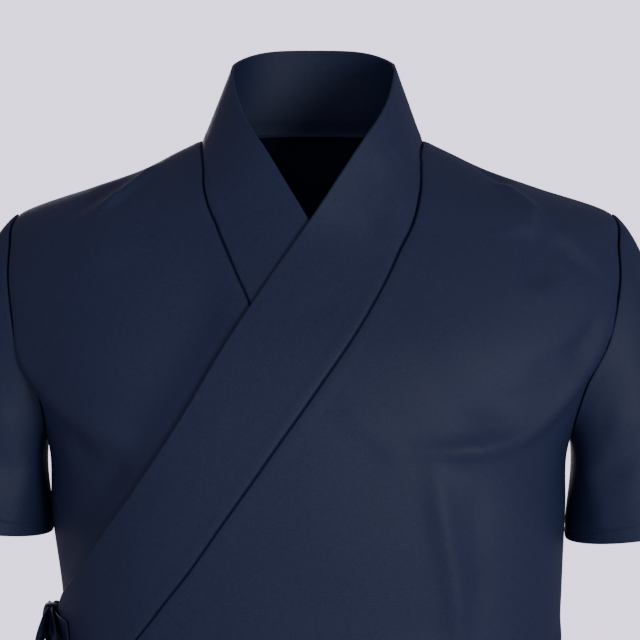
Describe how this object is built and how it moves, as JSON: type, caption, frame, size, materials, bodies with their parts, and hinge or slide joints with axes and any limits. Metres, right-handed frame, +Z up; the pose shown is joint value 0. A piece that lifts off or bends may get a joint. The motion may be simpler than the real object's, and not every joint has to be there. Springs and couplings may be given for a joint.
{
  "type": "wrap jacket and trousers set",
  "caption": "Hollow short-sleeved wrap jacket with a crossed collar band and side bow, worn over straight plain trousers.",
  "frame": {"origin": "midway between the two points where the collar seam meets the shoulder seams, where the wearer's shoulders hold the jacket", "axes": "+Z up, the front faces -Y, +X towards the wearer's left"},
  "size_m": [0.6279, 0.2631, 1.5561],
  "materials": {
    "jacket_cloth": "fine plain weave, dark navy, soft sheen",
    "band_cloth": "the same navy cloth, folded double and pressed flat",
    "trouser_cloth": "fine plain weave, dark navy, soft sheen"
  },
  "bodies": {
    "root": {"back": "jacket_cloth", "front_left": "jacket_cloth", "front_right": "jacket_cloth", "collar_band": "band_cloth", "sleeve_left": "jacket_cloth", "sleeve_right": "jacket_cloth", "tie_root_front": "band_cloth", "tie_root_back": "band_cloth", "tie_knot": "band_cloth", "tie_loop_front": "band_cloth", "tie_loop_back": "band_cloth", "tie_tail_front": "band_cloth", "tie_tail_back": "band_cloth", "trouser_front_left": "trouser_cloth", "trouser_front_right": "trouser_cloth", "trouser_back_left": "trouser_cloth", "trouser_back_right": "trouser_cloth", "waistband": "trouser_cloth"}
  },
  "joints": []
}
